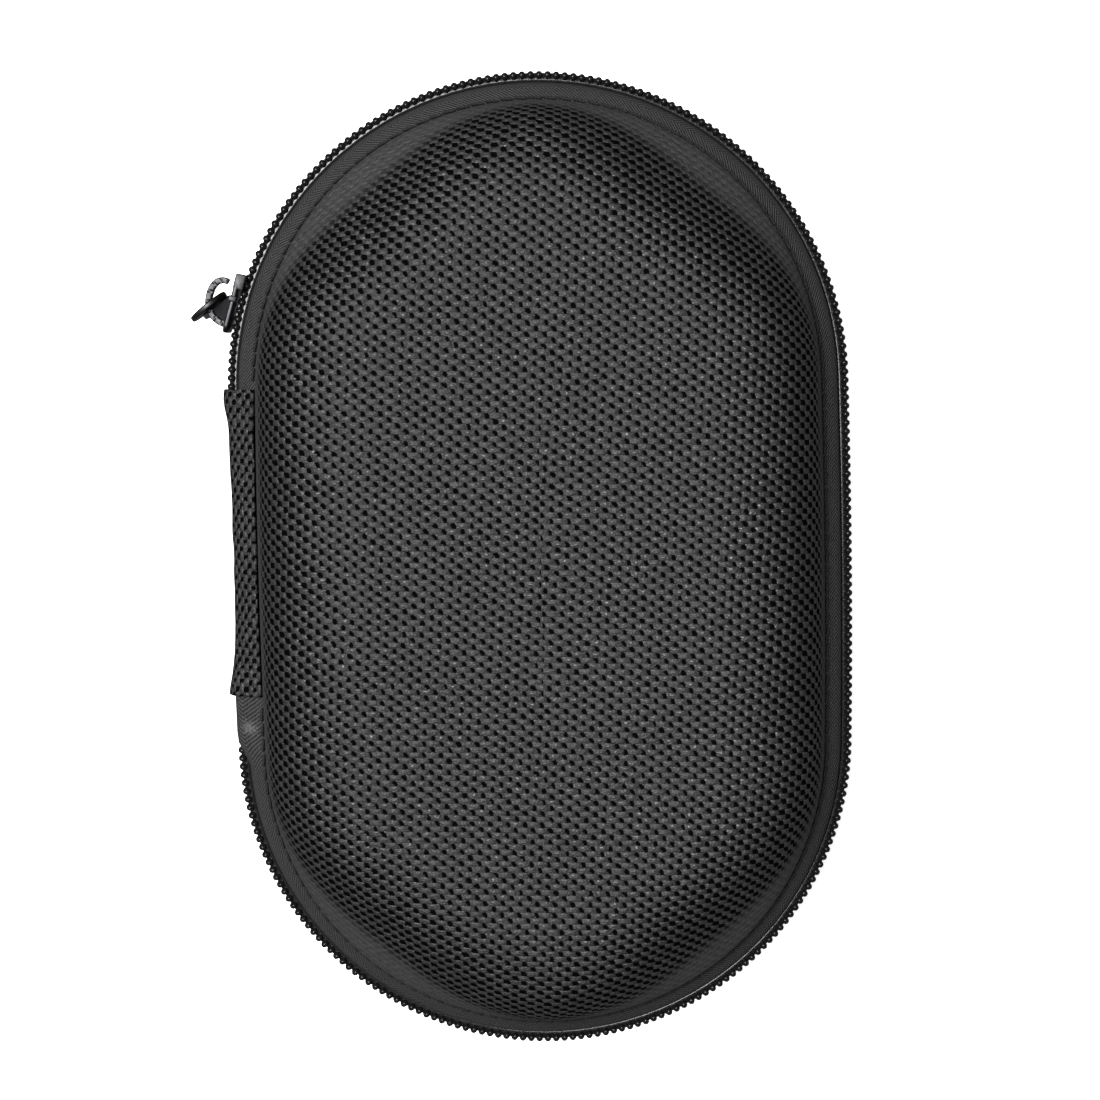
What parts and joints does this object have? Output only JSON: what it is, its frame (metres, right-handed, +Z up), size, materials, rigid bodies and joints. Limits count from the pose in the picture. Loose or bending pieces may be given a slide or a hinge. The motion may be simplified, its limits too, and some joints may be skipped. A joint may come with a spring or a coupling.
{
  "type": "headphone carrying case",
  "caption": "Oval hard-shell headphone carrying case in black woven nylon, with a coil zip round its rim, a fabric spine as its hinge and a mesh pocket in the lid.",
  "frame": {"origin": "middle of the base's flat underside", "axes": "+Z up with the case lying on its base, +Y along the case, the spine and hinge on the -X side"},
  "size_m": [0.1091, 0.1622, 0.045],
  "materials": {
    "nylon_fabric": "ballistic basket weave, low sheen",
    "eva_foam": "matt moulded foam",
    "knit_lining": "brushed knit",
    "edge_binding": "ribbed woven tape",
    "seam_thread": "twisted thread",
    "zip_tape": "herringbone twill",
    "zip_coil": "glossy nylon coil",
    "pocket_mesh": "open knitted mesh",
    "dark_nickel": "dark polished nickel"
  },
  "bodies": {
    "base": {"base_outer_fabric": "nylon_fabric", "base_eva_core": "eva_foam", "base_lining": "knit_lining", "base_binding": "edge_binding", "base_seam_thread": "seam_thread", "lower_zip_tape": "zip_tape", "lower_zip_coil": "zip_coil", "spine_cover_base": "nylon_fabric", "spine_lining_base": "knit_lining"},
    "lid": {"lid_outer_fabric": "nylon_fabric", "lid_eva_core": "eva_foam", "lid_lining": "knit_lining", "lid_binding": "edge_binding", "lid_seam_thread": "seam_thread", "upper_zip_tape": "zip_tape", "upper_zip_coil": "zip_coil", "spine_cover_lid": "nylon_fabric", "spine_lining_lid": "knit_lining", "mesh_pocket": "pocket_mesh", "pocket_elastic_hem": "edge_binding"},
    "slider": {"slider_body": "dark_nickel"},
    "pull": {"pull_tab": "dark_nickel"}
  },
  "joints": [
    {"name": "lid_hinge", "type": "hinge", "parent": "base", "child": "lid", "pos_m": [-0.0525, 0, 0.0225], "axis": [0, -1, 0], "range_deg": [0, 170]},
    {"name": "slider_travel", "type": "hinge", "parent": "base", "child": "slider", "pos_m": [0, 0.02981, 0.0225], "axis": [0, 0, -1], "range_deg": [0, 155]},
    {"name": "pull_swing", "type": "hinge", "parent": "slider", "child": "pull", "pos_m": [-0.05442, 0.04385, 0.0225], "axis": [-0.6143, 0.7891, 0], "range_deg": [-10, 150]}
  ],
  "couplings": [
    {"joint": "slider_travel", "follows": "lid_hinge", "ratio": 0.91175}
  ]
}
